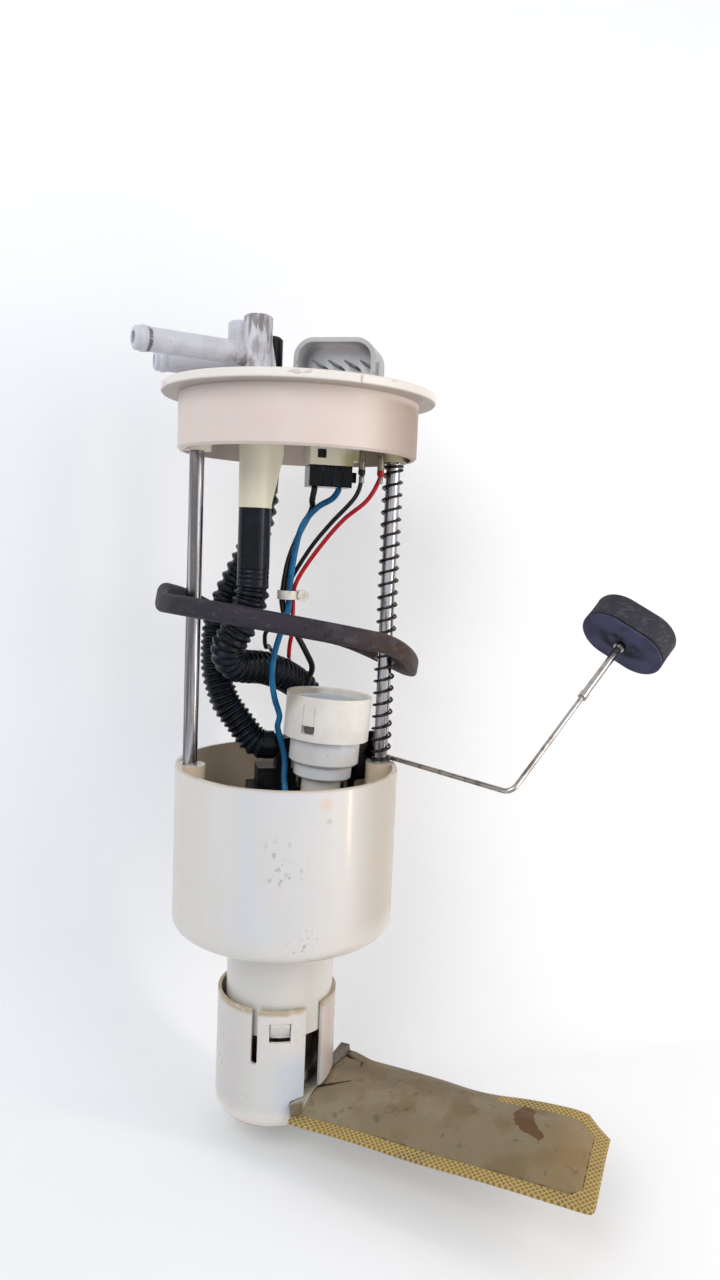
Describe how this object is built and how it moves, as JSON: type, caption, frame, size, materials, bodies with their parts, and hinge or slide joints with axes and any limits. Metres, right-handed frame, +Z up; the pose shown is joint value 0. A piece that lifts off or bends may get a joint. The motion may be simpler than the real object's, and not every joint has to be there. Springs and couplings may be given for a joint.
{
  "type": "fuel pump",
  "caption": "In-tank fuel pump and level sender module: round tank flange, sprung guide rods, reservoir with pump, strainer bag and float arm.",
  "frame": {"origin": "centre of the seat plane: the underside of the flange rim, which rests on the tank", "axes": "+Z up out of the tank along the module's axis, +X from the axis to the rod that carries the spring"},
  "size_m": [0.2464, 0.1779, 0.3611],
  "materials": {
    "cream_plastic": "matte",
    "grey_plastic": "matte",
    "milky_plastic": "satin",
    "white_plastic": "satin",
    "black_plastic": "satin",
    "brown_plastic": "satin",
    "tinned_brass": "satin",
    "seal_rubber": "matte",
    "bright_steel": "satin",
    "spring_steel": "satin",
    "hose_nylon": "gloss",
    "blue_insulation": "gloss",
    "black_insulation": "gloss",
    "red_insulation": "gloss",
    "ferrite": "matte",
    "sender_ceramic": "matte",
    "winding": "satin",
    "strainer_fabric": "matte",
    "float_foam": "matte"
  },
  "bodies": {
    "flange": {"flange": "cream_plastic", "feed_port": "grey_plastic", "return_port": "grey_plastic", "return_valve": "black_plastic", "connector_shroud": "grey_plastic", "terminal_blades": "tinned_brass", "inner_plug": "black_plastic", "sender_tabs": "tinned_brass", "seal_ring": "seal_rubber", "guide_rod_plain": "bright_steel", "guide_rod_sprung": "bright_steel", "rod_clips": "spring_steel", "spring_washer": "spring_steel", "spring": "spring_steel", "feed_hose": "hose_nylon", "return_hose": "hose_nylon", "lead_blue": "blue_insulation", "lead_black": "black_insulation", "lead_red": "red_insulation", "lead_sender": "black_insulation", "cable_tie": "white_plastic"},
    "reservoir": {"reservoir": "milky_plastic", "pump_cover": "milky_plastic", "pump_can": "bright_steel", "pump_outlet_cap": "black_plastic", "pump_inlet_cap": "black_plastic", "pump_magnets": "ferrite", "pump_isolator": "seal_rubber", "pump_plug": "black_plastic", "feed_elbow": "black_plastic", "return_elbow": "black_plastic", "return_funnel": "milky_plastic", "cup_collar": "white_plastic", "lower_cup": "milky_plastic", "strainer_frame": "milky_plastic", "strainer_sock": "strainer_fabric", "sender_body": "black_plastic", "sender_card": "sender_ceramic"},
    "rotor": {"armature": "winding", "impeller": "brown_plastic"},
    "float_arm": {"arm_hub": "black_plastic", "float_arm": "bright_steel", "float_sleeve": "bright_steel", "float_clip": "spring_steel"},
    "float": {"float": "float_foam"}
  },
  "joints": [
    {"name": "reservoir_slide", "type": "slide", "parent": "flange", "child": "reservoir", "axis": [0, 0, 1], "range_m": [0, 0.03], "stiffness_N_per_m": 200, "springref_m": -0.02, "deforming": ["spring", "feed_hose", "return_hose", "lead_blue", "lead_black", "lead_red", "lead_sender"]},
    {"name": "float_arm_swing", "type": "hinge", "parent": "reservoir", "child": "float_arm", "pos_m": [0.04983, 0.0031, -0.1613], "axis": [0.4695, -0.8829, 0], "range_deg": [-75, 20]},
    {"name": "float_turn", "type": "hinge", "parent": "float_arm", "child": "float", "pos_m": [0.08433, -0.0618, -0.1613], "axis": [0.6862, 0.3648, 0.6293], "continuous": true},
    {"name": "rotor_spin", "type": "hinge", "parent": "reservoir", "child": "rotor", "pos_m": [0, 0, -0.26], "axis": [0, 0, 1], "continuous": true}
  ]
}
